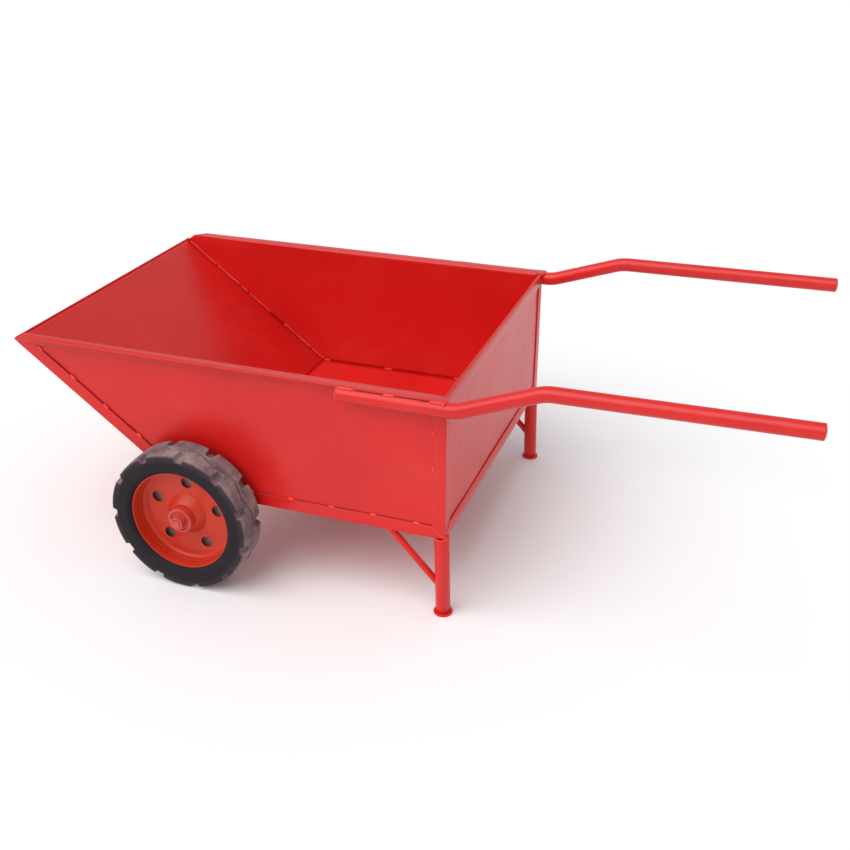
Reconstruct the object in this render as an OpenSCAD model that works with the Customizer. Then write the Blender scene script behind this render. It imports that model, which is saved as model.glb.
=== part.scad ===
// Two-wheeled tub hand cart in welded sheet and angle steel.
// +X runs from the sloped nose to the handles, +Z is up, left is the pusher's left (-Y).
// The origin is on the ground, in the middle of the cart's length and width.

/* [Tub] */
// Length of the rim from the nose to the tail panel
tub_l = 1058; // [850:2:1300]
// Width between the side panels
tub_w = 794; // [640:2:960]
// Height from the underside of the bottom frame to the top of the rim
tub_h = 345; // [285:5:420]
// Slope of the nose plate above the horizontal, degrees
slope_deg = 37.3; // [31:0.1:44]
// How far the nose plate ends below the rim
nose_drop = 15; // [10:1:25]
// Thickness of the sheet steel
sheet_t = 3; // [2:0.5:4]

/* [Frame] */
// Leg of the frame angles
angle_w = 30; // [25:1:36]
// Thickness of the frame angles
angle_t = 3; // [2.5:0.5:4]
// Leg of the rim angles
rim_w = 25; // [20:1:30]
// Depth of the flat bar on top of the tail panel
tail_rail_h = 30; // [20:1:36]
// Slanted cut on the nose end of the rim, along the rim
nose_cut = 22; // [10:1:36]
// Depth of the lip bar along the nose
lip_h = 7; // [7:1:12]
// Thickness of the lip bar
lip_t = 4; // [3:1:6]
// Number of flat cross bars under the floor
cross_bars = 2; // [1:1:4]

/* [Handles] */
// Outside diameter of the handle and leg tube
tube_d = 33.7; // [28:0.1:40]
// Wall of the tube
tube_t = 2.6; // [2:0.1:4]
// Length of handle tube that lies along the rim
handle_lap = 230; // [180:2:280]
// First bend, behind the tail panel
kick_start = 30; // [28:1:60]
// Second bend, behind the tail panel
kick_end = 212; // [182:2:280]
// Reach of the handles behind the tail panel
handle_reach = 735; // [600:1:900]
// Rise between the two bends
kick_rise = 65; // [50:1:85]
// Inward set of the grips between the two bends
kick_in = 9; // [0:1:20]
// Rise of the straight grip run
grip_rise = 5; // [0:1:20]
// Bend radius of the tube's centre line
bend_r = 100; // [70:5:120]
// Thickness of the domed end cap at its middle
cap_h = 5; // [4:0.5:8]

/* [Legs] */
// Setting of the leg tubes in from the outside of the frame
leg_inset = 12; // [10:1:20]
// Backward rake of each leg, top to foot
leg_rake = 5; // [0:1:15]
// Diameter of the foot discs
foot_d = 43; // [40:1:60]
// Thickness of the foot discs
foot_t = 5.5; // [4:0.5:8]
// Diameter of the round brace bars
brace_d = 16; // [10:1:16]
// Run of the brace along the bottom frame, ahead of the leg
brace_run = 122; // [100:2:170]
// Height of the brace's foot above the ground, on the leg
brace_low = 80; // [70:1:110]

/* [Wheels] */
// Outside diameter of the solid tyres
wheel_d = 348; // [300:2:420]
// Width of the tyres
tyre_w = 84; // [70:2:100]
// Outside diameter of the steel rim band
band_d = 248; // [220:2:260]
// Width of the rim band
band_w = 64; // [56:2:68]
// Thickness of the rim band and the wheel disc
band_t = 3; // [2:0.5:4]
// Gap between the frame and the inner side of the tyre
tyre_gap = 17; // [12:1:40]
// Lugs on each shoulder of the tread
lugs = 11; // [8:1:16]
// Depth of the notches between the lugs
lug_h = 13; // [8:1:14]
// Number of holes in the wheel disc
disc_holes = 5; // [3:1:6]
// Diameter of the holes in the wheel disc
disc_hole_d = 28; // [20:1:32]
// Radius of the circle of holes
disc_hole_r = 82; // [78:1:84]

/* [Hub and axle] */
// Drop of the axle's centre below the bottom frame
axle_drop = 26; // [24:1:50]
// Setting of the axle behind the front corner of the bottom frame
axle_back = 29; // [24:1:80]
// Diameter of the axle bar
axle_d = 25; // [24:0.5:28]
// Outside diameter of the hub tube
hub_d = 60; // [56:1:66]
// Length of the hub tube
hub_l = 62; // [56:1:74]
// Bore of the ball bearings
bearing_id = 20; // [18:0.5:21]
// Outside diameter of the ball bearings
bearing_od = 47; // [46:0.5:50]
// Width of the ball bearings
bearing_w = 14; // [12:0.5:15]
// Balls in each bearing
balls = 8; // [7:1:9]
// Depth of each bearing inside the end of the hub
hub_recess = 3; // [2:0.5:4]
// Thickness of the axle washers
washer_t = 2; // [2:0.5:3]
// Outside diameter of the axle washers
washer_d = 37; // [34:1:40]
// Size of the axle nuts across the flats
nut_af = 30; // [28:1:32]
// Height of the axle nuts
nut_h = 16; // [14:1:20]
// Length of axle that stands out of each nut
axle_end = 2; // [1:1:8]
// Thickness of the axle brackets
bracket_t = 8; // [6:1:10]
// Clearance between a turning piece and a fixed one
run_gap = 0.3; // [0.3:0.1:0.6]

/* [Hidden] */

PAINT = "#d5362f";
WHEEL_PAINT = "#cd4128";
RUBBER = "#5a4c56";
BARE = "#9a9a98";
LEFT = -1;
RIGHT = 1;
$fn = 64;

// Heights
axle_z = wheel_d / 2;
low_z = axle_z + axle_drop;
rim_z = low_z + tub_h;

// Widths, half of each
in_y = tub_w / 2;
out_y = in_y + sheet_t;
frame_y = out_y + angle_t;

// The slope: a point at distance `off` inside the outer face of the slope angle, at height z
slope_tan = tan(slope_deg);
function slope_x(z, off) = heel_x - (z - low_z - off / cos(slope_deg)) / slope_tan;
// A point at distance `off` inside both the slope and the bottom, on the mitre between them
function heel(off) = [heel_x + off * tan(slope_deg / 2), low_z + off];

// Lengths
skin = angle_t + sheet_t;
nose_edge_run = skin * sin(slope_deg);
lip_reach = nose_edge_run + lip_t * cos(slope_deg);
overall_l = lip_reach + tub_l + handle_reach;
nose_x = lip_reach - overall_l / 2;
tail_x = nose_x + tub_l;
post_x = tail_x + sheet_t + angle_t;
heel_x = nose_x + (tub_h - nose_drop - skin / cos(slope_deg)) / slope_tan;
// End of the nose plate, square to the slope, at distance `off` inside the slope
function nose_end(off) = [nose_x - (skin - off) * sin(slope_deg),
                          rim_z - nose_drop - (skin - off) * cos(slope_deg)];

// Handle line, in a plane that leans inwards about the lap: [distance along X, distance up the
// plane] of its start, its two bends and its end
lap_y = frame_y + tube_d / 2;
lap_z = rim_z - angle_t - tube_d / 2;
handle_lean = atan(kick_in / kick_rise);
// The wall grows by bend_swell on both sides in a bend, which reaches bend_seat over each run
bend_swell = 0.1;
bend_seat = 1;
kick_l = norm([kick_in, kick_rise]);
handle_line = [[-handle_lap, 0], [kick_start, 0], [kick_end, kick_l],
               [handle_reach - cap_h, kick_l + grip_rise]];

// Legs: the tube stands out of the corner's back by the same small step, whatever its diameter
leg_y = frame_y - leg_inset;
leg_stand_out = 4.85;
leg_top_x = post_x + leg_stand_out - tube_d / 2;
leg_foot_x = leg_top_x + leg_rake;

// Wheels
axle_x = heel_x + axle_back;
wheel_y = frame_y + tyre_gap + tyre_w / 2;
hub_in = wheel_y - hub_l / 2;
hub_out = wheel_y + hub_l / 2;
inner_bearing = hub_in + hub_recess;
outer_bearing = hub_out - hub_recess - bearing_w;
nut_in = outer_bearing + bearing_w + washer_t;
axle_tip = nut_in + nut_h + axle_end;
inner_ring_d = bearing_id + 8;
outer_ring_d = bearing_od - 8;
ball_pitch_r = (bearing_id + bearing_od) / 4;
ball_r = (outer_ring_d - inner_ring_d) / 4 + 1.2;
bore_step = 3.5;
web_y = -6;
cone_h = 18;
back_y = 6 - band_w / 2;

// ---- helpers ----

// Mirrors what is drawn for the right side (+Y) over to side s
module on_side(s) {
    mirror([0, s < 0 ? 1 : 0, 0]) children();
}

// A plate in the XZ plane from y0 to y1
module xz_plate(points, y0, y1) {
    translate([0, y1, 0]) rotate([90, 0, 0]) linear_extrude(y1 - y0) polygon(points);
}

// A plate in the YZ plane from x0 to x1
module yz_plate(points, x0, x1) {
    translate([x0, 0, 0]) rotate([90, 0, 90]) linear_extrude(x1 - x0) polygon(points);
}

// A plate in the XY plane from z0 to z1
module xy_plate(points, z0, z1) {
    translate([0, 0, z0]) linear_extrude(z1 - z0) polygon(points);
}

// A round body about a line along Y, from y0 to y1, at the axle's height
module round_y(r, y0, y1) {
    translate([axle_x, y1, axle_z]) rotate([90, 0, 0]) cylinder(r = r, h = y1 - y0);
}

// Direction of the line from p to q, degrees above +X
function heading(p, q) = atan2(q[1] - p[1], q[0] - p[0]);

// A straight round bar from p to q, both [x, z], in the plane Y = 0
module bar(p, q, r) {
    translate([p[0], 0, p[1]]) rotate([0, 90 - heading(p, q), 0]) cylinder(r = r, h = norm(q - p));
}

// A straight tube from p to q
module tube(p, q) {
    difference() {
        bar(p, q, tube_d / 2);
        bar(along(p, q, -1), along(q, p, -1), tube_d / 2 - tube_t);
    }
}

// Length that the bend at p takes from each straight run
function setback(o, p, q) = bend_r * tan(abs(heading(p, q) - heading(o, p)) / 2);

// A point on the line from p to q, at distance d from p
function along(p, q, d) = p + (q - p) * d / norm(q - p);

// A tube bend at corner p, coming from o and leaving to q; its wall is a hair thicker
module bend(o, p, q) {
    back = setback(o, p, q);
    from = along(p, o, back);
    to = along(p, q, back);
    turn = heading(p, q) - heading(o, p);
    centre = p + (from + to - 2 * p) * (1 / (2 * pow(sin(turn / 2), 2)));
    start = turn > 0 ? heading(o, p) - 90 : heading(p, q) + 90;
    translate([centre[0], 0, centre[1]]) rotate([90, 0, 0]) rotate([0, 0, start])
        rotate_extrude(angle = abs(turn)) translate([bend_r, 0]) difference() {
            circle(r = tube_d / 2 + bend_swell);
            circle(r = tube_d / 2 - tube_t - bend_swell);
        }
}

// Moves what is drawn on the handle line to the right handle's place
module on_handle() {
    translate([tail_x, lap_y, lap_z]) rotate([handle_lean, 0, 0]) children();
}

// The bent handle tube on its line; each bend holds the ends of the straight runs
module handle_tube() {
    p = handle_line;
    r = tube_d / 2;
    first = setback(p[0], p[1], p[2]) - bend_seat;
    second = setback(p[1], p[2], p[3]) - bend_seat;
    tube(p[0], along(p[1], p[0], first));
    bend(p[0], p[1], p[2]);
    tube(along(p[1], p[2], first), along(p[2], p[1], second));
    bend(p[1], p[2], p[3]);
    tube(along(p[2], p[3], second), p[3]);
}

// ---- tub sheets ----

module floor_plate() {
    color(PAINT) xz_plate([heel(angle_t), heel(skin), [tail_x, low_z + skin], [tail_x, low_z + angle_t]],
                          -in_y, in_y);
}

module nose_plate() {
    color(PAINT) xz_plate([heel(angle_t), heel(skin), nose_end(skin), nose_end(angle_t)], -in_y, in_y);
}

module side_panel(s) {
    color(PAINT) on_side(s)
        xz_plate([nose_end(angle_t), heel(angle_t), [tail_x, low_z + angle_t], [tail_x, rim_z],
                  [nose_x + nose_cut, rim_z], nose_end(lip_h)], in_y, out_y);
}

module tail_panel() {
    color(PAINT) translate([tail_x, -out_y, low_z + angle_t])
        cube([sheet_t, 2 * out_y, tub_h - angle_t]);
}

// ---- tub frame ----

module nose_lip() {
    p = nose_end(0);
    color(PAINT) translate([p[0], -frame_y, p[1]]) rotate([0, slope_deg, 0])
        translate([-lip_t, 0, 0]) cube([lip_t, 2 * frame_y, lip_h]);
}

module tail_rail() {
    color(PAINT) translate([tail_x + sheet_t, -out_y, rim_z - tail_rail_h])
        cube([angle_t, 2 * out_y, tail_rail_h]);
}

// Angle along the rim: one leg down the side panel, the other flat outwards. At the nose the
// upright leg is cut on a slant and the flat one at 45 degrees.
module rim_angle(s) {
    low = rim_z - rim_w;
    start = nose_x + nose_cut;
    color(PAINT) on_side(s) union() {
        xz_plate([[slope_x(low, 0), low], [post_x, low], [post_x, rim_z], [start, rim_z],
                  nose_end(lip_h), nose_end(0)], out_y, frame_y);
        xy_plate([[start, out_y], [start + rim_w, out_y + rim_w], [post_x, out_y + rim_w],
                  [post_x, out_y]], rim_z - angle_t, rim_z);
    }
}

// Angle along the slope: one leg outside the side panel, the other under the nose plate
module slope_angle(s) {
    top = rim_z - rim_w;
    color(PAINT) on_side(s) union() {
        xz_plate([heel(0), heel(angle_w), [slope_x(top, angle_w), top], [slope_x(top, 0), top]],
                 out_y, frame_y);
        xz_plate([heel(0), heel(angle_t), [slope_x(top, angle_t), top], [slope_x(top, 0), top]],
                 frame_y - angle_w, frame_y);
        xz_plate([[slope_x(top, 0), top], [slope_x(top, angle_t), top], nose_end(angle_t), nose_end(0)],
                 frame_y - angle_w, out_y);
    }
}

// Angle along the bottom of the side, mitred to the slope angle and to the corner post
module bottom_angle(s) {
    color(PAINT) on_side(s) union() {
        xz_plate([heel(0), heel(angle_w), [post_x - angle_w, low_z + angle_w], [post_x, low_z]],
                 out_y, frame_y);
        intersection() {
            xz_plate([heel(0), heel(angle_t), [post_x, low_z + angle_t], [post_x, low_z]],
                     frame_y - angle_w, out_y);
            xy_plate([[nose_x, out_y], [nose_x, frame_y - angle_w], [post_x - angle_w, frame_y - angle_w],
                      [post_x - angle_t, out_y]], low_z, low_z + angle_t);
        }
    }
}

module bottom_angle_tail() {
    inner = frame_y - angle_w;
    color(PAINT) union() {
        yz_plate([[-out_y, low_z], [out_y, low_z], [out_y, low_z + angle_t], [inner, low_z + angle_w],
                  [-inner, low_z + angle_w], [-out_y, low_z + angle_t]], tail_x + sheet_t, post_x);
        xy_plate([[post_x - angle_w, -inner], [post_x - angle_w, inner], [post_x - angle_t, out_y],
                  [post_x - angle_t, -out_y]], low_z, low_z + angle_t);
    }
}

// Flat bars across the frame under the floor sheet
module floor_cross_bars() {
    half = frame_y - angle_w;
    first = heel_x + angle_w;
    pitch = (post_x - angle_w - first) / cross_bars;
    color(PAINT) for (i = [0 : cross_bars - 1])
        translate([first + i * pitch, -half, low_z]) cube([angle_w, 2 * half, angle_t]);
}

// Upright angle on the tail corner, mitred to the bottom angles
module corner_post(s) {
    color(PAINT) on_side(s) union() {
        xz_plate([[post_x, low_z], [post_x - angle_w, low_z + angle_w], [post_x - angle_w, rim_z - rim_w],
                  [post_x, rim_z - rim_w]], out_y, frame_y);
        yz_plate([[out_y, low_z + angle_t], [frame_y - angle_w, low_z + angle_w],
                  [frame_y - angle_w, rim_z - tail_rail_h], [out_y, rim_z - tail_rail_h]],
                 tail_x + sheet_t, post_x);
    }
}

// ---- handles ----

// Bent tube, welded under the rim flange
module handle(s) {
    color(PAINT) on_side(s) on_handle() handle_tube();
}

// Domed plate that closes the end of the handle, with a spigot inside the tube
module handle_cap(s) {
    end = handle_line[3];
    spigot = 8;
    dome_r = 40;
    color(PAINT) on_side(s) on_handle()
        translate([end[0], 0, end[1]]) rotate([0, 90 - heading(handle_line[2], end), 0]) union() {
            intersection() {
                cylinder(d = tube_d, h = cap_h);
                translate([0, 0, cap_h - dome_r]) sphere(r = dome_r);
            }
            translate([0, 0, -spigot]) cylinder(r = tube_d / 2 - tube_t - 0.2, h = spigot + 1);
        }
}

// ---- legs ----

// The leg's round bar, at any height between the ground and above the frame
module leg_bar(r) {
    bar([leg_foot_x, 0], [leg_top_x, low_z + foot_t], r);
}

// Raked tube under the tail corner of the frame
module leg(s) {
    color(PAINT) translate([0, s * leg_y, 0]) intersection() {
        difference() {
            leg_bar(tube_d / 2);
            leg_bar(tube_d / 2 - tube_t);
        }
        translate([leg_top_x - tube_d, -tube_d, foot_t]) cube([2 * tube_d, 2 * tube_d, low_z - foot_t]);
    }
}

module foot(s) {
    color(PAINT) translate([leg_foot_x, s * leg_y, 0]) cylinder(d = foot_d, h = foot_t);
}

// Round bar from the bottom frame down to the leg, cut to the leg's round side
module leg_brace(s) {
    low = [leg_foot_x, brace_low - tube_d / 2];
    high = [leg_top_x - brace_run, low_z];
    color(PAINT) translate([0, s * leg_y, 0]) intersection() {
        difference() {
            bar(low, along(high, low, -brace_d), brace_d / 2);
            leg_bar(tube_d / 2);
        }
        translate([high[0] - 2 * brace_d, -brace_d, 0])
            cube([leg_foot_x - high[0] + 2 * brace_d, 2 * brace_d, low_z]);
    }
}

// ---- axle ----

// Round bar with a turned-down journal at each end
module axle() {
    color(BARE) union() {
        round_y(axle_d / 2, -inner_bearing, inner_bearing);
        round_y(bearing_id / 2, -axle_tip, axle_tip);
    }
}

// Plate welded under the bottom frame, with a bore for the axle bar
module axle_bracket(s) {
    reach = axle_d / 2 + 10;
    y0 = frame_y - angle_w + 10;
    color(PAINT) on_side(s) difference() {
        union() {
            round_y(reach, y0, y0 + bracket_t);
            translate([axle_x - reach, y0, axle_z]) cube([2 * reach, bracket_t, axle_drop]);
        }
        round_y(axle_d / 2, y0 - 1, y0 + bracket_t + 1);
    }
}

module axle_washers() {
    color(BARE) for (s = [LEFT, RIGHT]) on_side(s) difference() {
        round_y(washer_d / 2, nut_in - washer_t, nut_in);
        round_y(bearing_id / 2, nut_in - washer_t - 1, nut_in + 1);
    }
}

module axle_nuts() {
    color(BARE) for (s = [LEFT, RIGHT]) on_side(s) difference() {
        translate([axle_x, nut_in + nut_h, axle_z]) rotate([90, 30, 0])
            cylinder(d = nut_af / cos(30), h = nut_h, $fn = 6);
        round_y(bearing_id / 2, nut_in - 1, nut_in + nut_h + 1);
    }
}

// ---- bearings ----

// A ring about the axle with a ball groove cut into it
module race(r0, r1, y0, groove_r) {
    difference() {
        round_y(r1, y0, y0 + bearing_w);
        round_y(r0, y0 - 1, y0 + bearing_w + 1);
        translate([axle_x, y0 + bearing_w / 2, axle_z]) rotate([90, 0, 0])
            rotate_extrude() translate([ball_pitch_r, 0]) circle(r = groove_r);
    }
}

module bearing_inner_rings() {
    color(BARE) for (s = [LEFT, RIGHT]) on_side(s)
        for (y = [inner_bearing, outer_bearing])
            race(bearing_id / 2, inner_ring_d / 2, y, ball_r + run_gap);
}

module bearing_spacers() {
    color(BARE) for (s = [LEFT, RIGHT]) on_side(s) difference() {
        round_y(bearing_id / 2 + 3, inner_bearing + bearing_w, outer_bearing);
        round_y(bearing_id / 2, inner_bearing + bearing_w - 1, outer_bearing + 1);
    }
}

module bearing_outer_rings(s) {
    color(BARE) on_side(s)
        for (y = [inner_bearing, outer_bearing])
            race(outer_ring_d / 2, bearing_od / 2, y, ball_r + 0.02);
}

module bearing_balls(s) {
    color(BARE) on_side(s)
        for (y = [inner_bearing, outer_bearing], i = [0 : balls - 1])
            translate([axle_x, y + bearing_w / 2, axle_z]) rotate([0, i * 360 / balls, 0])
                translate([ball_pitch_r, 0, 0]) sphere(r = ball_r);
}

module bearing_shields(s) {
    color(BARE) on_side(s)
        for (y = [inner_bearing, outer_bearing], side = [0.5, bearing_w - 1.5]) difference() {
            round_y(outer_ring_d / 2, y + side, y + side + 1);
            round_y(inner_ring_d / 2 + 2 * run_gap, y + side - 1, y + side + 2);
        }
}

// ---- wheels ----

// Tube with a seat for a bearing in each end and a shoulder between them
module wheel_hub(s) {
    color(WHEEL_PAINT) on_side(s) difference() {
        round_y(hub_d / 2, hub_in, hub_out);
        round_y(bearing_od / 2, hub_in - 1, inner_bearing + bearing_w);
        round_y(bearing_od / 2, outer_bearing, hub_out + 1);
        round_y(bearing_od / 2 - bore_step, hub_in, hub_out);
    }
}

// A body turned about the axle from an outline of [radius, distance outboard of the wheel's middle]
module turned(points) {
    translate([axle_x, wheel_y, axle_z]) rotate([-90, 0, 0]) rotate_extrude() polygon(points);
}

// Rolled steel band that carries the tyre
module wheel_rim(s) {
    r = band_d / 2;
    color(WHEEL_PAINT) on_side(s)
        turned([[r, -band_w / 2], [r, band_w / 2], [r - band_t, band_w / 2], [r - band_t, -band_w / 2]]);
}

// Pressed disc: a flange in the band, a flat web with round holes and a raised cone up to the hub
module wheel_disc(s) {
    r = band_d / 2 - band_t;
    fold = 10;
    flange = 16;
    cone_r = hub_d / 2 + 20;
    arc = [for (a = [0 : 15 : 90]) [cos(a), sin(a)]];
    color(WHEEL_PAINT) on_side(s) difference() {
        turned(concat(
            [[r, web_y + flange], [r - band_t, web_y + flange]],
            [for (p = arc) [r - band_t - fold + fold * p[0], web_y + fold - fold * p[1]]],
            [[cone_r, web_y], [hub_d / 2 + band_t, web_y + cone_h], [hub_d / 2, web_y + cone_h],
             [hub_d / 2, web_y + cone_h - band_t], [cone_r - band_t, web_y - band_t]],
            [for (i = [0 : 6]) let (p = arc[6 - i])
                [r - band_t - fold + (fold + band_t) * p[0], web_y + fold - (fold + band_t) * p[1]]]));
        for (i = [0 : disc_holes - 1])
            translate([axle_x, wheel_y + web_y + 1, axle_z]) rotate([0, -14.3 - i * 360 / disc_holes, 0])
                translate([disc_hole_r, 0, 0]) rotate([90, 0, 0])
                    cylinder(d = disc_hole_d, h = band_t + 2);
    }
}

// Flat plate that closes the wheel on its inner side
module wheel_back_disc(s) {
    r = band_d / 2 - band_t;
    color(WHEEL_PAINT) on_side(s)
        turned([[hub_d / 2, back_y], [hub_d / 2, back_y + band_t], [r, back_y + band_t], [r, back_y]]);
}

// Solid rubber tyre with a row of square notches in each shoulder, the two rows out of step
module tyre(s) {
    r0 = band_d / 2;
    r1 = wheel_d / 2;
    w = tyre_w / 2;
    seat = band_w / 2;
    bulge = 10;
    shoulder = 5;
    notch = 22;
    notch_in = 12;
    first = 0.06;
    color(RUBBER) on_side(s) difference() {
        turned([[r0, -seat], [r0 + bulge, -w], [r1 - shoulder, -w], [r1, -w + shoulder],
                [r1, w - shoulder], [r1 - shoulder, w], [r0 + bulge, w], [r0, seat]]);
        for (row = [0, 1], i = [0 : lugs - 1])
            translate([axle_x, wheel_y, axle_z])
                rotate([0, -(i + first + row / 2) * 360 / lugs, 0])
                    translate([r1 - lug_h, row > 0 ? notch_in : -w - 1, -notch / 2])
                        cube([lug_h + 1, w - notch_in + 1, notch]);
    }
}

floor_plate();
nose_plate();
nose_lip();
side_panel(LEFT);  // side_panel_left
side_panel(RIGHT);  // side_panel_right
tail_panel();
tail_rail();
rim_angle(LEFT);  // rim_angle_left
rim_angle(RIGHT);  // rim_angle_right
slope_angle(LEFT);  // slope_angle_left
slope_angle(RIGHT);  // slope_angle_right
bottom_angle(LEFT);  // bottom_angle_left
bottom_angle(RIGHT);  // bottom_angle_right
bottom_angle_tail();
floor_cross_bars();
corner_post(LEFT);  // corner_post_left
corner_post(RIGHT);  // corner_post_right
handle(LEFT);  // handle_left
handle(RIGHT);  // handle_right
handle_cap(LEFT);  // handle_cap_left
handle_cap(RIGHT);  // handle_cap_right
leg(LEFT);  // leg_left
leg(RIGHT);  // leg_right
foot(LEFT);  // foot_left
foot(RIGHT);  // foot_right
leg_brace(LEFT);  // leg_brace_left
leg_brace(RIGHT);  // leg_brace_right
axle();
axle_bracket(LEFT);  // axle_bracket_left
axle_bracket(RIGHT);  // axle_bracket_right
axle_washers();
axle_nuts();
bearing_inner_rings();
bearing_spacers();
tyre(LEFT);  // tyre_left
wheel_rim(LEFT);  // wheel_rim_left
wheel_disc(LEFT);  // wheel_disc_left
wheel_back_disc(LEFT);  // wheel_back_disc_left
wheel_hub(LEFT);  // wheel_hub_left
bearing_outer_rings(LEFT);  // bearing_outer_rings_left
bearing_balls(LEFT);  // bearing_balls_left
bearing_shields(LEFT);  // bearing_shields_left
tyre(RIGHT);  // tyre_right
wheel_rim(RIGHT);  // wheel_rim_right
wheel_disc(RIGHT);  // wheel_disc_right
wheel_back_disc(RIGHT);  // wheel_back_disc_right
wheel_hub(RIGHT);  // wheel_hub_right
bearing_outer_rings(RIGHT);  // bearing_outer_rings_right
bearing_balls(RIGHT);  // bearing_balls_right
bearing_shields(RIGHT);  // bearing_shields_right
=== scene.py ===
import math

import bmesh
import bpy
import numpy as np
from mathutils import Matrix, Vector


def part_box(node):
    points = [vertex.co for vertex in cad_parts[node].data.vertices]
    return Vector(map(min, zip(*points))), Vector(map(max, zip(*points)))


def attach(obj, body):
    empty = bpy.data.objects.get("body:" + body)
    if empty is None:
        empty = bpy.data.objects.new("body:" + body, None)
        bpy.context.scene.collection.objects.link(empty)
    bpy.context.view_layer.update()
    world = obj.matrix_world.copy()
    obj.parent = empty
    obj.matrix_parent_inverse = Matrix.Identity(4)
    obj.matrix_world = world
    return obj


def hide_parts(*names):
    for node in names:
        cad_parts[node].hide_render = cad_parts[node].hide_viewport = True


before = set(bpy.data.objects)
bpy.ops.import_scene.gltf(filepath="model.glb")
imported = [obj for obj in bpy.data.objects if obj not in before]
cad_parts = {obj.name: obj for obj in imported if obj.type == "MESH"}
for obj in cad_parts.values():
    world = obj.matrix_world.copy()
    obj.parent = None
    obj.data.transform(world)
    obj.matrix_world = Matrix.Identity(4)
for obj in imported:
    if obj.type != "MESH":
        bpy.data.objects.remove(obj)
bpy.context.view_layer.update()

# ---- Camera, floor and light ----
# A standing person's view from behind the cart's left side, over a plain white studio floor.
# An even white surround and one very soft high light, from ahead of the cart's left side, light it.

eye = Vector((0.8142, -2.3895, 1.5486))
turn_deg, tilt_deg, roll_deg = 20.73, 26.16, -0.56
az, el, roll = (math.radians(a) for a in (turn_deg, tilt_deg, roll_deg))
forward = Vector((-math.sin(az) * math.cos(el), math.cos(az) * math.cos(el), -math.sin(el)))
level = Vector((math.cos(az), math.sin(az), 0))
upright = level.cross(forward)
right = level * math.cos(roll) + upright * math.sin(roll)
up = upright * math.cos(roll) - level * math.sin(roll)
camera_data = bpy.data.cameras.new("camera")
camera_data.lens = 47.94
camera_data.shift_x = 0.0326
camera_data.shift_y = -0.0207
camera = bpy.data.objects.new("camera", camera_data)
camera.matrix_world = Matrix((
    (right.x, up.x, -forward.x, eye.x),
    (right.y, up.y, -forward.y, eye.y),
    (right.z, up.z, -forward.z, eye.z),
    (0, 0, 0, 1)))
bpy.context.scene.collection.objects.link(camera)
bpy.context.scene.camera = camera

world = bpy.data.worlds.new("studio")
world.use_nodes = True
world.node_tree.nodes["Background"].inputs["Color"].default_value = (0.97, 0.98, 1, 1)
world.node_tree.nodes["Background"].inputs["Strength"].default_value = 0.66
bpy.context.scene.world = world
bpy.context.scene.view_settings.view_transform = "Standard"

high_light = bpy.data.lights.new("high_light", "SUN")
high_light.energy = 2.2
high_light.angle = math.radians(60)
high_lamp = bpy.data.objects.new("high_light", high_light)
high_lamp.rotation_euler = Vector((0.32, 0.52, -0.82)).to_track_quat("-Z", "Y").to_euler()
bpy.context.scene.collection.objects.link(high_lamp)


def new_object(name, verts, faces, smooth=True):
    """A mesh object from an array of points and a list of index arrays."""
    mesh = bpy.data.meshes.new(name)
    mesh.from_pydata(np.asarray(verts, float).reshape(-1, 3).tolist(), [],
                     [f for block in faces for f in block.tolist()])
    mesh.validate()
    if smooth:
        mesh.shade_smooth()
    obj = bpy.data.objects.new(name, mesh)
    bpy.context.scene.collection.objects.link(obj)
    return obj


floor_half = 30
floor_corners = floor_half * np.array([[-1, -1, 0], [1, -1, 0], [1, 1, 0], [-1, 1, 0]])
floor = new_object("studio_floor", floor_corners, [np.array([[0, 1, 2, 3]])], smooth=False)
floor_paint = bpy.data.materials.new("pale_floor")
floor_paint.use_nodes = True
floor_paint.node_tree.nodes["Principled BSDF"].inputs["Base Color"].default_value = (0.88, 0.88, 0.88, 1)
floor_paint.node_tree.nodes["Principled BSDF"].inputs["Roughness"].default_value = 0.7
floor.data.materials.append(floor_paint)

# ---- Tub sheets ----
# Five plates of 3 mm sheet steel make the open tub: floor, sloped nose, two sides and tail. The
# welding has drawn them a little, so each one bows by about a millimetre between its edges.
# They are sprayed inside and out with a gloss red enamel. The floor and the far side get a slightly lighter
# copy of it, which is painted light for the tub's inside.

sheet = 0.003


def group_of(name, inputs, outputs):
    """An empty shader node group with the given sockets, each (name, type, value)."""
    tree = bpy.data.node_groups.new(name, "ShaderNodeTree")
    for label, kind, value in inputs:
        tree.interface.new_socket(label, in_out="INPUT", socket_type=kind).default_value = value
    for label, kind in outputs:
        tree.interface.new_socket(label, in_out="OUTPUT", socket_type=kind)
    return tree, tree.nodes.new("NodeGroupInput"), tree.nodes.new("NodeGroupOutput")


def add_node(tree, kind, **values):
    """A node with its properties and its unlinked input values set by name."""
    node = tree.nodes.new(kind)
    for key, value in values.items():
        if hasattr(node, key):
            setattr(node, key, value)
        else:
            node.inputs[key.replace("_", " ")].default_value = value
    return node


def noise(tree, scale, detail=3.0, rough=0.5, stretch=(1, 1, 1)):
    """Noise over the piece, in object coordinates stretched by the given factors."""
    place = add_node(tree, "ShaderNodeTexCoord")
    mapping = add_node(tree, "ShaderNodeMapping", Scale=stretch)
    texture = add_node(tree, "ShaderNodeTexNoise", Scale=scale, Detail=detail, Roughness=rough)
    tree.links.new(place.outputs["Object"], mapping.inputs["Vector"])
    tree.links.new(mapping.outputs["Vector"], texture.inputs["Vector"])
    return texture.outputs["Fac"]


def ramp(tree, value, low, high):
    """The value spread from 0 at low to 1 at high, with smooth ends."""
    node = add_node(tree, "ShaderNodeMapRange", interpolation_type="SMOOTHSTEP",
                    From_Min=low, From_Max=high)
    tree.links.new(value, node.inputs["Value"])
    return node.outputs["Result"]


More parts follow.
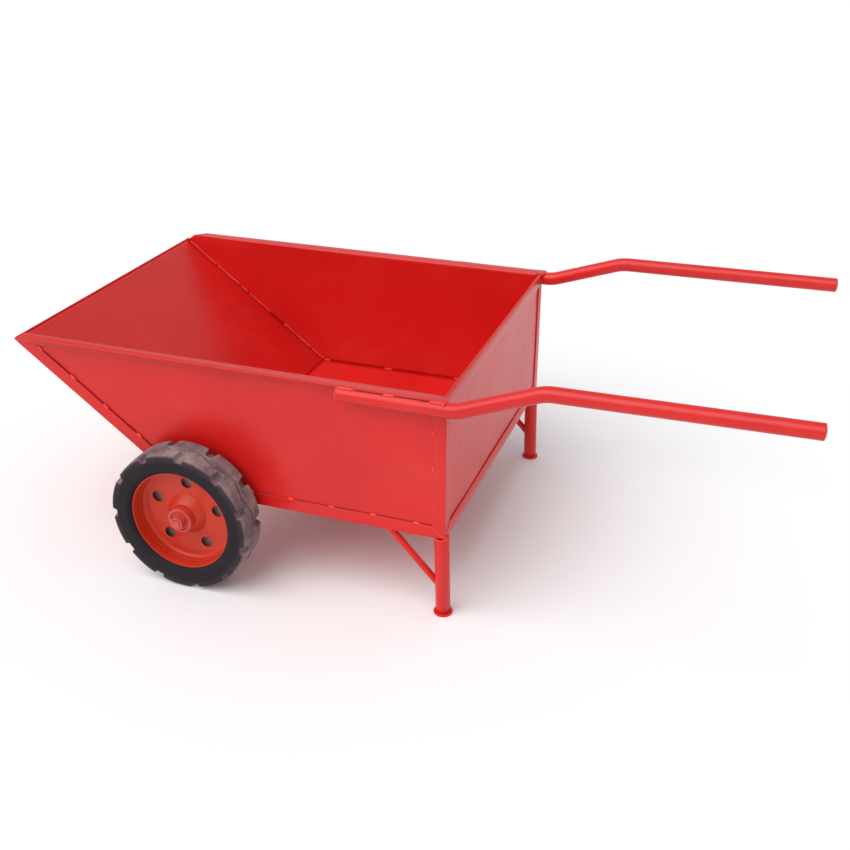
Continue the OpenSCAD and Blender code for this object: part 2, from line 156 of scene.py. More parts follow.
def blend(tree, kind, factor, a, b):
    """A MixRGB-style mix of two colours, each a socket or a constant."""
    node = add_node(tree, "ShaderNodeMix", data_type="RGBA", blend_type=kind)
    for socket, value in ((node.inputs[0], factor), (node.inputs[6], a), (node.inputs[7], b)):
        if isinstance(value, bpy.types.NodeSocket):
            tree.links.new(value, socket)
        else:
            socket.default_value = value
    return node.outputs[2]


def math_node(tree, operation, a, b):
    """One arithmetic step on two values, each a socket or a number."""
    node = add_node(tree, "ShaderNodeMath", operation=operation)
    for socket, value in ((node.inputs[0], a), (node.inputs[1], b)):
        if isinstance(value, bpy.types.NodeSocket):
            tree.links.new(value, socket)
        else:
            socket.default_value = value
    return node.outputs[0]


# Sprayed enamel on steel: soft clouds where the coat is thicker, orange peel, fine scuffs that
# dull it, and a little pale dust that settles in patches.
sprayed, sprayed_in, sprayed_out = group_of(
    "sprayed_enamel",
    [("Paint", "NodeSocketColor", (0.6, 0.02, 0.015, 1)),
     ("Thin coat", "NodeSocketColor", (0.5, 0.01, 0.01, 1)),
     ("Dust", "NodeSocketColor", (0.6, 0.35, 0.32, 1)),
     ("Dust amount", "NodeSocketFloat", 0.1),
     ("Gloss", "NodeSocketFloat", 0.3)],
    [("Colour", "NodeSocketColor"), ("Roughness", "NodeSocketFloat"), ("Height", "NodeSocketFloat")])
clouds = ramp(sprayed, noise(sprayed, 3.2, 3, 0.55), 0.32, 0.72)
speck = ramp(sprayed, noise(sprayed, 46, 4, 0.7), 0.60, 0.74)
scuffs = ramp(sprayed, noise(sprayed, 30, 5, 0.65, (0.25, 1.6, 1.6)), 0.56, 0.74)
settled = math_node(sprayed, "MULTIPLY", ramp(sprayed, noise(sprayed, 9, 5, 0.65), 0.45, 0.80),
                    sprayed_in.outputs["Dust amount"])
coat = blend(sprayed, "MIX", clouds, sprayed_in.outputs["Thin coat"], sprayed_in.outputs["Paint"])
dulled = blend(sprayed, "MIX", math_node(sprayed, "MULTIPLY", speck, 0.10), coat, (0.08, 0.012, 0.01, 1))
dusted = blend(sprayed, "MIX", settled, dulled, sprayed_in.outputs["Dust"])
sprayed.links.new(dusted, sprayed_out.inputs["Colour"])
rougher = math_node(sprayed, "ADD", math_node(sprayed, "MULTIPLY", scuffs, 0.16),
                    math_node(sprayed, "MULTIPLY", settled, 0.5))
sprayed.links.new(math_node(sprayed, "ADD", rougher, sprayed_in.outputs["Gloss"]),
                  sprayed_out.inputs["Roughness"])
peel = math_node(sprayed, "MULTIPLY", noise(sprayed, 330, 2, 0.5), 0.35)
sag = math_node(sprayed, "MULTIPLY", noise(sprayed, 14, 2, 0.5), 0.65)
sprayed.links.new(math_node(sprayed, "ADD", peel, sag), sprayed_out.inputs["Height"])


def enamel(name, paint, thin, dust, amount, gloss, coat_weight=0.12):
    """A sprayed paint: the shared spray group feeding a Principled shader with a thin clear coat."""
    material = bpy.data.materials.new(name)
    material.use_nodes = True
    tree = material.node_tree
    shader = tree.nodes["Principled BSDF"]
    shader.inputs["Coat Weight"].default_value = coat_weight
    shader.inputs["Coat Roughness"].default_value = 0.22
    shader.inputs["Specular IOR Level"].default_value = 0.35
    spray = tree.nodes.new("ShaderNodeGroup")
    spray.node_tree = sprayed
    spray.inputs["Paint"].default_value = (*paint, 1)
    spray.inputs["Thin coat"].default_value = (*thin, 1)
    spray.inputs["Dust"].default_value = (*dust, 1)
    spray.inputs["Dust amount"].default_value = amount
    spray.inputs["Gloss"].default_value = gloss
    relief = add_node(tree, "ShaderNodeBump", Strength=0.25, Distance=0.0006)
    tree.links.new(spray.outputs["Colour"], shader.inputs["Base Color"])
    tree.links.new(spray.outputs["Roughness"], shader.inputs["Roughness"])
    tree.links.new(spray.outputs["Height"], relief.inputs["Height"])
    tree.links.new(relief.outputs["Normal"], shader.inputs["Normal"])
    return material


dust_pink = (0.62, 0.30, 0.27)
red_outside = enamel("red_enamel", (0.64, 0.011, 0.008), (0.57, 0.007, 0.006), dust_pink,
                     amount=0.035, gloss=0.34)
# A slightly lighter copy of the red enamel: painted light for the tub's inside faces.
red_painted_light_inside = enamel("red_enamel_inside_painted_light", (0.66, 0.011, 0.009), (0.60, 0.009, 0.007), dust_pink,
                    amount=0.03, gloss=0.34)


def fill_grid(rows, cols, wrap_rows=False, wrap_cols=False):
    """Quads over a grid of points, rows by cols, closed on itself where it wraps."""
    i, j = np.meshgrid(np.arange(rows if wrap_rows else rows - 1),
                       np.arange(cols if wrap_cols else cols - 1), indexing="ij")
    i, j = i.ravel(), j.ravel()
    i2, j2 = (i + 1) % rows, (j + 1) % cols
    return np.stack([i * cols + j, i * cols + j2, i2 * cols + j2, i2 * cols + j], axis=1)


def drawn_sheet(name, node, along, low, high, outward, material, seed):
    """A plate between two edges. low and high give the edge points for the shares `along`; the
    plate is their straight blend, bowed along `outward` by two waves that fade at its edges."""
    bow = 0.0012
    steps = 40
    u = along[:, None, None]
    v = np.linspace(0, 1, steps)[None, :, None]
    points = low(u) * (1 - v) + high(u) * v
    fade = (np.clip(np.minimum(u, 1 - u) * 9, 0, 1) * np.clip(np.minimum(v, 1 - v) * 7, 0, 1)) ** 1.5
    slow_wave = np.sin(5.1 * u + 2.3 * v + seed) * np.cos(3.7 * v - 1.9 * u + seed)
    wave = slow_wave + 0.35 * np.sin(13 * u - 7 * v + seed)
    points = points + np.array(outward) * (bow * fade * wave)
    obj = new_object(name, points, [fill_grid(len(along), steps)])
    obj.data.materials.append(material)
    wall = obj.modifiers.new("sheet", "SOLIDIFY")
    wall.thickness = sheet
    wall.offset = 0
    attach(obj, "cart")
    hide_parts(node)


floor_low, floor_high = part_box("floor_plate")
nose_low, nose_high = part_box("nose_plate")
tail_low, tail_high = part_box("tail_panel")
panel_low, panel_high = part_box("side_panel_right")
slope = math.radians(37.3)
nose_x = nose_low.x + sheet * math.sin(slope)
run = np.linspace(0, 1, 60)
half_y = floor_high.y
mid = sheet / 2


def line_points(a, b):
    """The straight line from a to b as a function of the share along it."""
    a, b = np.array(a, float), np.array(b, float)
    return lambda t: a + (b - a) * t


floor_z = floor_low.z + mid
drawn_sheet("tub_floor", "floor_plate", run,
            line_points((floor_low.x, -half_y, floor_z), (floor_high.x, -half_y, floor_z)),
            line_points((floor_low.x, half_y, floor_z), (floor_high.x, half_y, floor_z)),
            (0, 0, 1), red_painted_light_inside, seed=0.4)
across = np.array((math.sin(slope), 0, math.cos(slope)))
heel_point = np.array((floor_low.x, 0, floor_low.z)) + across * mid
lip_point = np.array((nose_x, 0, nose_high.z)) - across * mid
edge = np.array((0, half_y, 0))
drawn_sheet("tub_nose", "nose_plate", run, line_points(lip_point - edge, heel_point - edge),
            line_points(lip_point + edge, heel_point + edge), across, red_outside, seed=2.1)


def side_low(y):
    """The side panel's lower edge at width y: down the slope, then along the bottom."""
    def at(t):
        x = nose_x + (panel_high.x - nose_x) * t
        z = np.maximum(panel_low.z, panel_low.z + (floor_low.x - x) * math.tan(slope))
        return np.concatenate([x, np.full_like(x, y), z], axis=-1)
    return at


nose_cut = 0.022  # the slanted cut at the rim's front end, along the rim


def side_high(y):
    """The side panel's upper edge at width y: up the slanted cut at the nose, then level."""
    def at(t):
        x = nose_x + (panel_high.x - nose_x) * t
        z = np.minimum(panel_high.z, nose_high.z + (panel_high.z - nose_high.z) * (x - nose_x) / nose_cut)
        return np.concatenate([x, np.full_like(x, y), z], axis=-1)
    return at


side_run = np.append(0, np.linspace(nose_cut / (panel_high.x - nose_x), 1, 70))
for side, sign, paint in (("left", -1, red_outside), ("right", 1, red_painted_light_inside)):
    y = sign * (panel_low.y + mid)
    drawn_sheet(f"tub_side_{side}", f"side_panel_{side}", side_run, side_low(y), side_high(y),
                (0, 1, 0), paint, seed=3.3 * sign)
tail_x = tail_low.x + mid
drawn_sheet("tub_tail", "tail_panel", run,
            line_points((tail_x, tail_low.y, tail_low.z), (tail_x, tail_high.y, tail_low.z)),
            line_points((tail_x, tail_low.y, tail_high.z), (tail_x, tail_high.y, tail_high.z)),
            (1, 0, 0), red_outside, seed=5.2)

# ---- Frame angles, flats, legs and brackets ----
# Hot-rolled angle and flat bar, sawn and mitred, edge the tub and carry the floor. Two raked
# tubes with round foot discs and round-bar braces stand under the tail corners. Rolling and
# grinding leave every edge slightly rounded.


def eased(node, body, material, radius=0.0008):
    """A merged copy of a CAD piece with its edges rounded, in the piece's place."""
    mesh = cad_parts[node].data.copy()
    form = bmesh.new()
    form.from_mesh(mesh)
    bmesh.ops.remove_doubles(form, verts=form.verts, dist=1e-6)
    bmesh.ops.dissolve_limit(form, angle_limit=math.radians(0.4), verts=form.verts, edges=form.edges)
    form.to_mesh(mesh)
    form.free()
    mesh.materials.clear()
    mesh.materials.append(material)
    mesh.shade_smooth()
    obj = bpy.data.objects.new(node + "_eased", mesh)
    bpy.context.scene.collection.objects.link(obj)
    rounding = obj.modifiers.new("rounding", "BEVEL")
    rounding.width = radius
    rounding.segments = 2
    rounding.limit_method = "ANGLE"
    rounding.angle_limit = math.radians(35)
    rounding.harden_normals = True
    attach(obj, body)
    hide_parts(node)


for node in ("nose_lip", "tail_rail", "bottom_angle_tail", "floor_cross_bars"):
    eased(node, "cart", red_outside)
for side in ("left", "right"):
    for part in ("rim_angle", "slope_angle", "bottom_angle", "corner_post", "leg", "foot", "leg_brace",
                 "axle_bracket", "handle_cap"):
        eased(f"{part}_{side}", "cart", red_outside)

# ---- Handles ----
# Each handle is one length of steel pipe, bent twice. It lies under the rim flange, kicks up and
# slightly inwards behind the tail, and ends in a long straight grip run closed by a domed cap.


def carried(profile, path, side, top, ends=True):
    """A closed profile carried along a path: each row is path + profile_x * side + profile_y * top.
    Returns points and faces, with flat ends if asked."""
    path = np.asarray(path, float)
    side = np.broadcast_to(side, path.shape)
    top = np.broadcast_to(top, path.shape)
    shape = np.broadcast_to(profile, (len(path),) + np.shape(profile)[-2:])
    rows = path[:, None] + shape[..., :1] * side[:, None] + shape[..., 1:] * top[:, None]
    n, m = rows.shape[:2]
    faces = [fill_grid(n, m, wrap_cols=True)]
    if ends:
        faces += [np.arange(m)[None, ::-1], (n - 1) * m + np.arange(m)[None]]
    return rows.reshape(-1, 3), faces


def bent_line(corners, radius, step=math.radians(2)):
    """A line in a plane through corner points, with each inner corner rounded by an arc. An arc is
    centre + radius * (cos a, sin a). Returns points and unit directions."""
    corners = np.asarray(corners, float)
    points = [corners[:1]]
    for before, at, after in zip(corners[:-2], corners[1:-1], corners[2:]):
        h0, h1 = (math.atan2(b[1] - a[1], b[0] - a[0]) for a, b in ((before, at), (at, after)))
        turn = h1 - h0
        back = radius * math.tan(abs(turn) / 2)
        start = at - back * np.array((math.cos(h0), math.sin(h0)))
        lean = math.copysign(math.pi / 2, turn)
        centre = start + radius * np.array((math.cos(h0 + lean), math.sin(h0 + lean)))
        a = np.linspace(h0, h1, max(3, int(abs(turn) / step))) - lean
        points.append(centre + radius * np.stack([np.cos(a), np.sin(a)], axis=1))
    points.append(corners[-1:])
    line = np.concatenate(points)
    ways = np.gradient(line, axis=0)
    ways = ways / np.linalg.norm(ways, axis=1, keepdims=True)
    first, last = corners[1] - corners[0], corners[-1] - corners[-2]
    ways[:2] = first / np.linalg.norm(first)
    ways[-2:] = last / np.linalg.norm(last)
    return line, ways


def ring(radius, count):
    """Points of a circle, as a profile."""
    a = np.linspace(0, 2 * math.pi, count, endpoint=False)
    return radius * np.stack([np.cos(a), np.sin(a)], axis=1)


tube_r = 0.01685
tube_wall = 0.0026
tube_sides = 40
handle_low, handle_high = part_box("handle_right")
cap_low, cap_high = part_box("handle_cap_right")
lap_y = handle_high.y - tube_r
lap_z = handle_low.z + tube_r
end_y = (cap_low.y + cap_high.y) / 2
end_z = (cap_low.z + cap_high.z) / 2
bend_radius = 0.100
kick_start, kick_end = 0.030, 0.212
kick_rise, kick_in, grip_rise = 0.065, 0.009, 0.005
lean = math.atan2(lap_y - end_y, end_z - lap_z)
kick_up = math.hypot(kick_in, kick_rise)
handle_line, handle_ways = bent_line(
    [(handle_low.x, 0), (tail_low.x + kick_start, 0), (tail_low.x + kick_end, kick_up),
     (handle_high.x, kick_up + grip_rise)], bend_radius)
for side, sign in (("left", -1), ("right", 1)):
    rise = np.array((0, -sign * math.sin(lean), math.cos(lean)))
    forward_x = np.array((1, 0, 0))
    path = np.array((0, sign * lap_y, lap_z)) + handle_line[:, :1] * forward_x + handle_line[:, 1:] * rise
    top = -handle_ways[:, 1:] * forward_x + handle_ways[:, :1] * rise
    cross = np.cross(forward_x, rise)
    outer, outer_faces = carried(ring(tube_r, tube_sides), path, cross, top, ends=False)
    inner, inner_faces = carried(ring(tube_r - tube_wall, tube_sides), path, cross, top, ends=False)
    count = len(outer)
    a = np.arange(tube_sides)
    b = (a + 1) % tube_sides
    last = count - tube_sides
    near_face = np.stack([a, count + a, count + b, b], axis=1)
    far_face = np.stack([last + a, last + b, count + last + b, count + last + a], axis=1)
    pipe = new_object(f"handle_pipe_{side}", np.concatenate([outer, inner]),
                      [outer_faces[0], inner_faces[0][:, ::-1] + count, near_face, far_face])
    form = bmesh.new()
    form.from_mesh(pipe.data)
    bmesh.ops.recalc_face_normals(form, faces=form.faces)
    form.to_mesh(pipe.data)
    form.free()
    pipe.data.set_sharp_from_angle(angle=math.radians(40))
    pipe.data.materials.append(red_outside)
    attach(pipe, "cart")
    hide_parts(f"handle_{side}")

# ---- Wheels ----
# A solid rubber tyre with chunky staggered lugs is pressed on a rolled steel band. A pressed disc
# with five round holes and a flat back disc join the band to a hub tube. The outside is sprayed
# orange-red and dusty; the back disc behind the holes is grimy primer.

axle_low, axle_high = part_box("axle")
axle_x = (axle_low.x + axle_high.x) / 2
axle_z = (axle_low.z + axle_high.z) / 2
tyre_low, tyre_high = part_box("tyre_right")
band_low, band_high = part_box("wheel_rim_right")
wheel_y = (tyre_low.y + tyre_high.y) / 2
tyre_r = (tyre_high.x - tyre_low.x) / 2
tyre_half = (tyre_high.y - tyre_low.y) / 2
band_r = (band_high.x - band_low.x) / 2
band_half = (band_high.y - band_low.y) / 2
lugs = 11


def smooth_step(x):
    """0 below 0, 1 above 1, and a smooth S between."""
    x = np.clip(x, 0, 1)
    return x * x * (3 - 2 * x)


shoulder = 0.006
pitch = 2 * math.pi / lugs
outer_row, inner_row = 0.56, 0.06  # place of a notch within the pitch, on each half of the tread
zigzag_place = 0.31


def tyre_outline():
    """A section through the tyre, as radius and width: up one sidewall from the band, round the
    shoulder by a quarter circle, across the tread, and down the other side."""
    t = np.linspace(0, 1, 14)
    arc = np.linspace(0, math.pi / 2, 7)[1:-1]
    side_r = band_r + (tyre_r - shoulder - band_r) * t
    side_w = band_half + (tyre_half - band_half) * np.minimum(1, t * 4) ** 0.6
    turn_r = tyre_r - shoulder * (1 - np.sin(arc))
    turn_w = tyre_half - shoulder * (1 - np.cos(arc))
    tread_w = np.linspace(tyre_half - shoulder, -(tyre_half - shoulder), 60)
    tread_r = np.full(len(tread_w), tyre_r)
    return (np.concatenate([side_r, turn_r, tread_r, turn_r[::-1], side_r[::-1]]),
            np.concatenate([side_w, turn_w, tread_w, -turn_w[::-1], -side_w[::-1]]))


def notch_depths(angle, w):
    """Depth of the notches between the lugs. Each notch opens and deepens from the tread's middle
    to its shoulder, and its walls are smooth steps of the distance from its centre line."""
    row = np.where(w > 0, outer_row, inner_row)
    centre = (np.round(angle / pitch - row) + row) * pitch
    off_centre = np.abs(angle - centre) * tyre_r
    outward = np.clip((np.abs(w) - 0.008) / (tyre_half - 0.008), 0, 1)
    half_notch = 0.0065 + 0.0055 * outward
    walls = smooth_step((half_notch - off_centre) / 0.0030 + 0.5) * smooth_step((np.abs(w) - 0.009) / 0.004)
    return walls * (0.0085 + 0.0045 * outward)


def zigzag_depths(angle, w):
    """Depth of the groove round the middle of the tread, whose line is a triangle wave."""
    swing, half_groove, depth = 0.0085, 0.0032, 0.0060
    phase = angle / pitch - zigzag_place
    line = swing * (4 * np.abs(phase - np.floor(phase + 0.5)) - 1)
    return depth * smooth_step((half_groove - np.abs(w - line)) / 0.0022 + 0.5)


def tyre_rows(steps=792):
    """Points of the lugged tyre: its outline turned about the axle, with the radius cut down by the
    notches and the middle groove, and a slight crown that falls with the square of the width."""
    angle = np.linspace(0, 2 * math.pi, steps, endpoint=False)[:, None]
    outline_r, w = (values[None] for values in tyre_outline())
    cut_r = tyre_r - np.maximum(notch_depths(angle, w), zigzag_depths(angle, w))
    crown = 0.0018 * (w / tyre_half) ** 2
    return angle, np.minimum(outline_r, cut_r) - crown * (outline_r > tyre_r - 0.02), w


angle, radius, width = tyre_rows()
for side, sign in (("left", -1), ("right", 1)):
    x = axle_x + radius * np.cos(angle)
    z = axle_z + radius * np.sin(angle)
    y = np.broadcast_to(sign * (wheel_y + width), x.shape)
    faces = fill_grid(*x.shape, wrap_rows=True, wrap_cols=True)
    tyre = new_object(f"lugged_tyre_{side}", np.stack([x, y, z], axis=-1),
                      [faces if sign < 0 else faces[:, ::-1]])
    tyre.data.set_sharp_from_angle(angle=math.radians(38))
    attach(tyre, f"wheel_{side}")
    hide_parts(f"tyre_{side}")

# Dusty rubber: near-black with a purplish cast on the sidewall, and a coat of dried grey-brown
# dust all over the tread, which the "tread" attribute marks from 0 to 1.
rubber = bpy.data.materials.new("dusty_rubber")
rubber.use_nodes = True
tree = rubber.node_tree
shader = tree.nodes["Principled BSDF"]
shader.inputs["Specular IOR Level"].default_value = 0.2
dirt = ramp(tree, noise(tree, 16, 6, 0.65), 0.30, 0.72)
fine = ramp(tree, noise(tree, 90, 4, 0.7), 0.35, 0.70)
reach = add_node(tree, "ShaderNodeAttribute", attribute_name="tread")
thick = math_node(tree, "ADD", 0.62, math_node(tree, "MULTIPLY", dirt, 0.38))
cover = math_node(tree, "MULTIPLY", reach.outputs["Fac"], thick)
sidewall = blend(tree, "MIX", math_node(tree, "MULTIPLY", dirt, 0.35),
                 (0.013, 0.009, 0.013, 1), (0.036, 0.027, 0.033, 1))
tread_dust = blend(tree, "MIX", dirt, (0.25, 0.165, 0.185, 1), (0.36, 0.275, 0.265, 1))
speckled = blend(tree, "MULTIPLY", math_node(tree, "MULTIPLY", fine, 0.45),
                 tread_dust, (0.45, 0.42, 0.45, 1))
tree.links.new(blend(tree, "MIX", cover, sidewall, speckled), shader.inputs["Base Color"])
tree.links.new(math_node(tree, "ADD", 0.62, math_node(tree, "MULTIPLY", dirt, 0.25)),
               shader.inputs["Roughness"])
grit = add_node(tree, "ShaderNodeBump", Strength=0.5, Distance=0.001)
tree.links.new(math_node(tree, "ADD", noise(tree, 240, 3, 0.6), dirt), grit.inputs["Height"])
tree.links.new(grit.outputs["Normal"], shader.inputs["Normal"])
for side in ("left", "right"):
    tyre = bpy.data.objects[f"lugged_tyre_{side}"]
    tyre.data.materials.append(rubber)
    tread = tyre.data.attributes.new("tread", "FLOAT", "POINT")
    near_top = smooth_step((radius - (tyre_r - 0.022)) / 0.012)
    on_tread = near_top * smooth_step((tyre_half + 0.001 - np.abs(width)) / 0.006)
    tread.data.foreach_set("value", on_tread.astype(np.float32).ravel())

orange = enamel("orange_enamel", (0.58, 0.033, 0.006), (0.48, 0.022, 0.005), (0.45, 0.18, 0.11),
                amount=0.06, gloss=0.44)
hub_red = enamel("hub_enamel", (0.58, 0.050, 0.036), (0.50, 0.028, 0.022), (0.50, 0.28, 0.25),
                 amount=0.22, gloss=0.34)
back_grime = enamel("grimy_primer", (0.48, 0.28, 0.26), (0.34, 0.19, 0.18), (0.50, 0.38, 0.36),
                    amount=0.5, gloss=0.6, coat_weight=0.0)
for side in ("left", "right"):
    eased(f"wheel_back_disc_{side}", f"wheel_{side}", back_grime, 0.0006)
    for part in ("wheel_rim", "wheel_disc"):
        eased(f"{part}_{side}", f"wheel_{side}", orange, 0.0006)
    eased(f"wheel_hub_{side}", f"wheel_{side}", hub_red, 0.0010)

# ---- Axle and bearings ----
# A turned axle bar runs under the floor. Each hub turns on two shielded ball bearings, held by a
# washer and a nut. The wheel's spray covers all of it but the balls and spacers inside.

steel = bpy.data.materials.new("turned_steel")
steel.use_nodes = True
tree = steel.node_tree
shader = tree.nodes["Principled BSDF"]
shader.inputs["Metallic"].default_value = 1.0
marks = ramp(tree, noise(tree, 60, 4, 0.6, (1, 12, 1)), 0.3, 0.7)
tree.links.new(blend(tree, "MIX", marks, (0.36, 0.34, 0.33, 1), (0.52, 0.51, 0.50, 1)),
               shader.inputs["Base Color"])
tree.links.new(math_node(tree, "ADD", 0.28, math_node(tree, "MULTIPLY", marks, 0.2)),
               shader.inputs["Roughness"])
for name in ("axle_nuts", "axle_washers"):
    eased(name, "cart", hub_red, 0.0006)
for name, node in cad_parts.items():
    if name == "axle" or name.startswith("bearing"):
        node.data.materials.clear()
        bare = name.startswith(("bearing_balls", "bearing_spacers"))
        node.data.materials.append(steel if bare else hub_red)

# ---- Welds ----
# The cart is arc-welded: stitched beads in the tub's seams, tacks along the edges of the angles and
# fillets round the tubes. The spray covers them, and their ripples catch the light. The beads' paint is a
# lighter red than the sheets', which is a painted highlight. Thin dark strips laid in the joints between the
# tacks are painted shade, standing in for the shadow there.

ripple = 0.0042
bead_step = 0.0011


def bead(a, b, side, top, radius, seed=0.0):
    """A weld bead from a to b: a flattened round profile whose radius ripples along its length,
    swells slowly, and tapers at both ends."""
    a, b = np.array(a, float), np.array(b, float)
    length = np.linalg.norm(b - a)
    s = np.linspace(0, length, max(8, int(length / bead_step)))
    taper = np.sqrt(np.clip(np.minimum(s, length - s) / (radius * 1.2), 0.02, 1))
    swell = 0.13 * np.sin(2 * math.pi * s / ripple + seed) + 0.10 * np.sin(s * 97 + seed)
    size = radius * taper * (1 + swell)
    wander = 0.0005 * np.sin(s * 61 + 2 * seed)
    path = a + (b - a) * (s / length)[:, None] + np.array(side) * wander[:, None]
    return carried(size[:, None, None] * ring(1, 10)[None] * np.array((1.0, 0.8)), path, side, top)


def tack(middle, way, side, top, radius, seed, half=0.008):
    """A short bead centred on a point."""
    return bead(middle - way * half, middle + way * half, side, top, radius, seed)


def stitches(a, b, side, top, shares, radius):
    """Beads along parts of the line from a to b, each given as a start and an end share."""
    a, b = np.array(a, float), np.array(b, float)
    return [bead(a + (b - a) * u, a + (b - a) * v, side, top, radius, 1.7 * i)
            for i, (u, v) in enumerate(shares)]


def ring_bead(centre, r, radius, axis_a, axis_b, seed=0.0):
    """A weld bead round a circle: centre + r * (cos t * axis_a + sin t * axis_b)."""
    t = np.linspace(0, 2 * math.pi, max(12, int(r * 2 * math.pi / bead_step)))
    out = np.cos(t)[:, None] * axis_a + np.sin(t)[:, None] * axis_b
    size = radius * (1 + 0.14 * np.sin(t * r * 2 * math.pi / ripple + seed) + 0.1 * np.sin(5 * t + seed))
    return carried(size[:, None, None] * ring(1, 10)[None], np.array(centre) + r * out, out,
                   np.cross(axis_a, axis_b))


# A lighter red than the sheets' paint: a painted highlight on the bead ripples.
weld_red_painted_highlight = enamel("weld_enamel_painted_highlight", (0.80, 0.035, 0.028), (0.70, 0.022, 0.018), dust_pink,
                    amount=0.12, gloss=0.22, coat_weight=0.3)
# A near-black red laid in the joints as painted shade.
shade_strip_red = enamel("painted_shade_strip", (0.10, 0.008, 0.008), (0.06, 0.006, 0.006), dust_pink,
                  amount=0.05, gloss=0.6, coat_weight=0.0)


def weld_piece(name, parts, material=weld_red_painted_highlight):
    """Several beads as one piece that rides on the cart."""
    points, faces, count = [], [], 0
    for verts, blocks in parts:
        points.append(verts)
        faces += [block + count for block in blocks]
        count += len(verts)
    obj = new_object(name, np.concatenate(points), faces)
    form = bmesh.new()
    form.from_mesh(obj.data)
    bmesh.ops.recalc_face_normals(form, faces=form.faces)
    form.to_mesh(obj.data)
    form.free()
    obj.data.materials.append(material)
    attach(obj, "cart")


X, Y, Z = np.eye(3)
skin = 0.006
angle_w = 0.030
rim_reach = 0.025
post_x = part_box("corner_post_right")[1].x
frame_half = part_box("corner_post_right")[1].y
low_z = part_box("bottom_angle_right")[0].z
rim_z = panel_high.z
start_x = handle_low.x
down_slope = np.array((math.cos(slope), 0, -math.sin(slope)))
slope_top = np.array((nose_x, 0, nose_high.z))
slope_end = np.array((floor_low.x, 0, floor_high.z))
edge_top = slope_top - across * skin + across * angle_w


def inside_beads(sign):
    """One side's seams inside the tub: down the slope, along the floor and up the tail."""
    wall = np.array((0, sign * half_y, 0))
    heel, back = ((x, sign * half_y, floor_high.z) for x in (floor_low.x, tail_low.x))
    return (stitches(slope_top + wall + down_slope * 0.01, slope_end + wall, across, Y,
                     ((0, 0.20), (0.205, 0.37), (0.375, 0.43), (0.44, 0.60), (0.70, 0.90), (0.905, 1)),
                     0.0028)
            + stitches(heel, back, Y, Z, ((0, 0.03), (0.30, 0.34), (0.63, 0.67), (0.96, 1)), 0.0022)
            + stitches(back, (tail_low.x, sign * half_y, rim_z - 0.01), X, Y,
                       ((0, 0.12), (0.44, 0.55), (0.88, 1)), 0.0022))


def edge_tacks(sign):
    """Tacks along the edges of one side's slope angle, bottom angle and corner post, and the two
    ground mitre joints at the corner's foot."""
    face = Y * sign * (frame_half - 0.0018)
    tacks = [tack(edge_top + down_slope * (0.060 + 0.103 * i) + face, down_slope, across, Y * sign,
                  0.0036, i, half=0.009) for i in range(5)]
    tacks += [tack(np.array((post_x - 0.067 - 0.101 * i, 0, low_z + angle_w)) + face, X, Z, Y * sign,
                   0.0037, 2 + i) for i in range(6)]
    tacks += [tack(np.array((post_x - angle_w, 0, low_z + 0.085 + 0.085 * i)) + face, Z, X, Y * sign,
                   0.0024, 4 + i) for i in range(3)]
    corner = np.array((post_x, sign * frame_half, low_z))
    tacks.append(bead(corner + (-angle_w, 0, angle_w), corner + (-0.001, 0, 0.001),
                      np.array((1, 0, 1)) / math.sqrt(2), Y * sign, 0.0016, 8))
    tacks.append(bead(corner + (0, -sign * angle_w, angle_w), corner + (0, -sign * 0.001, 0.001),
                      np.array((0, sign, 1)) / math.sqrt(2), X, 0.0016, 9))
    return tacks


flange_y = half_y + sheet + rim_reach
seam_z = rim_z - 0.0035


def handle_beads(sign):
    """Where the handle lies under the rim: three runs on the flange's edge, three short ones
    below, one round the handle's front end, and a lump that closes the corner behind the tail."""
    edge_y = sign * (flange_y + 0.001)
    under_y = sign * (frame_half + 0.002)
    beads = [bead((start_x + a, edge_y, seam_z), (start_x + b, edge_y, seam_z), Y, Z, 0.0036, a * 90)
             for a, b in ((0.0, 0.040), (0.104, 0.130), (0.206, post_x - start_x + 0.002))]
    beads.append(ring_bead((start_x, sign * lap_y, lap_z), tube_r - 0.0005, 0.0018, Y, Z))
    corner_top = np.array((post_x + 0.001, sign * (half_y + 0.012), rim_z - 0.004))
    beads.append(bead(corner_top - Y * sign * 0.008, corner_top + Y * sign * 0.024, X, Z, 0.0048, 3))
    return beads + [bead((start_x + a, under_y, lap_z - 0.010), (start_x + a + 0.03, under_y, lap_z - 0.010),
                         Y, Z, 0.003, a * 50) for a in (0.004, 0.096, 0.188)]


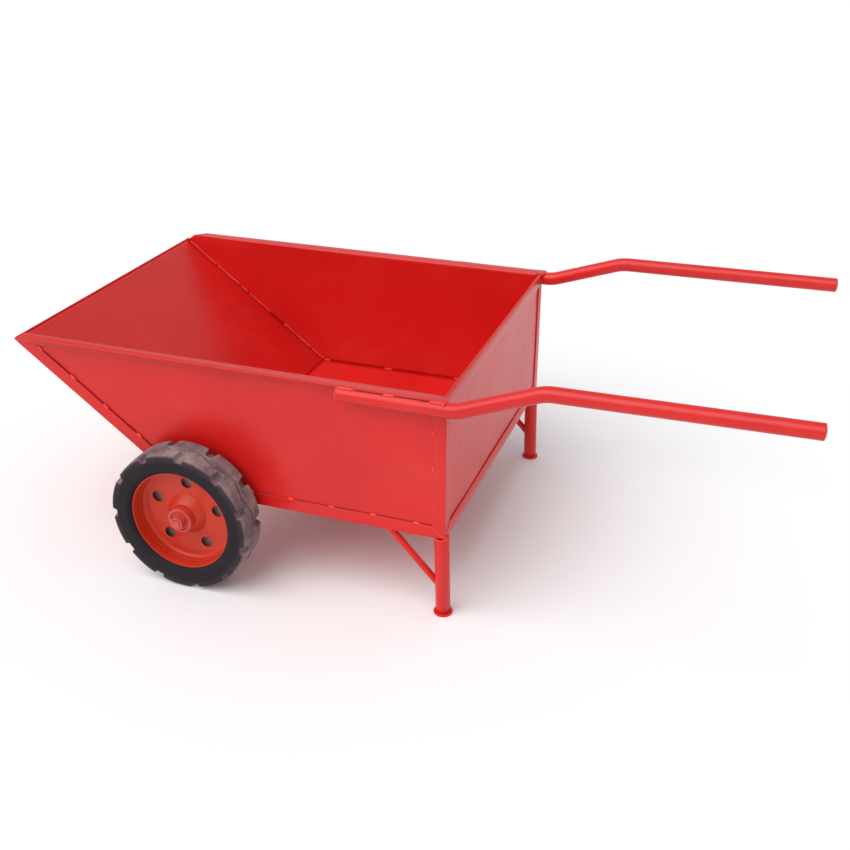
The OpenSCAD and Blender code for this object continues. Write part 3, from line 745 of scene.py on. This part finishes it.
def painted_shade_lines(sign):
    """Painted shade: dark lines along the bottom angle, up the slope angle, and between the handle's runs,
    where shadow falls in the joints.
    """
    ledge_y = sign * (frame_half - 0.0022)
    rim_y = sign * (flange_y + 0.0002)
    bottom_end = np.array((post_x - angle_w, ledge_y, low_z + angle_w))
    heel_end = np.array((floor_low.x + angle_w * math.tan(slope / 2), ledge_y, low_z + angle_w))
    return [bead(heel_end, bottom_end, Y, Z, 0.0010),
            bead(heel_end, edge_top + down_slope * 0.02 + Y * ledge_y, Y, across, 0.0010),
            bead((start_x + 0.042, rim_y, seam_z), (start_x + 0.102, rim_y, seam_z), Y, Z, 0.0013),
            bead((start_x + 0.132, rim_y, seam_z), (start_x + 0.204, rim_y, seam_z), Y, Z, 0.0013)]


def leg_beads(side):
    """Round the top of the leg and of its brace, and across the step behind the corner."""
    leg_low, leg_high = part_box(f"leg_{side}")
    brace_low, brace_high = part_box(f"leg_brace_{side}")
    leg_y = (leg_low.y + leg_high.y) / 2
    brace_r = (brace_high.y - brace_low.y) / 2
    step = np.array((post_x + 0.0012, leg_y, leg_high.z - 0.0005))
    return [ring_bead((leg_low.x + tube_r, leg_y, leg_high.z - 0.001), tube_r, 0.0014, X, Y, 1),
            ring_bead((brace_low.x + 0.010, leg_y, brace_high.z - 0.0008), brace_r + 0.0012, 0.0024, X, Y, 3),
            bead(step - Y * 0.013, step + Y * 0.013, X, Z, 0.0040, 5)]


for side, sign in (("left", -1), ("right", 1)):
    weld_piece(f"welds_inside_{side}", inside_beads(sign))
    weld_piece(f"welds_outside_{side}", edge_tacks(sign))
    weld_piece(f"welds_handle_{side}", handle_beads(sign))
    weld_piece(f"seam_shade_lines_{side}", painted_shade_lines(sign), shade_strip_red)
    weld_piece(f"welds_leg_{side}", leg_beads(side))

bracket_low, bracket_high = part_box("axle_bracket_right")
top_z = low_z - 0.0008
weld_piece("welds_axle", [
    bead((bracket_low.x, sign * y, top_z), (bracket_high.x, sign * y, top_z), Y, Z, 0.003, y * 40)
    for sign in (-1, 1) for y in (bracket_low.y, bracket_high.y)])
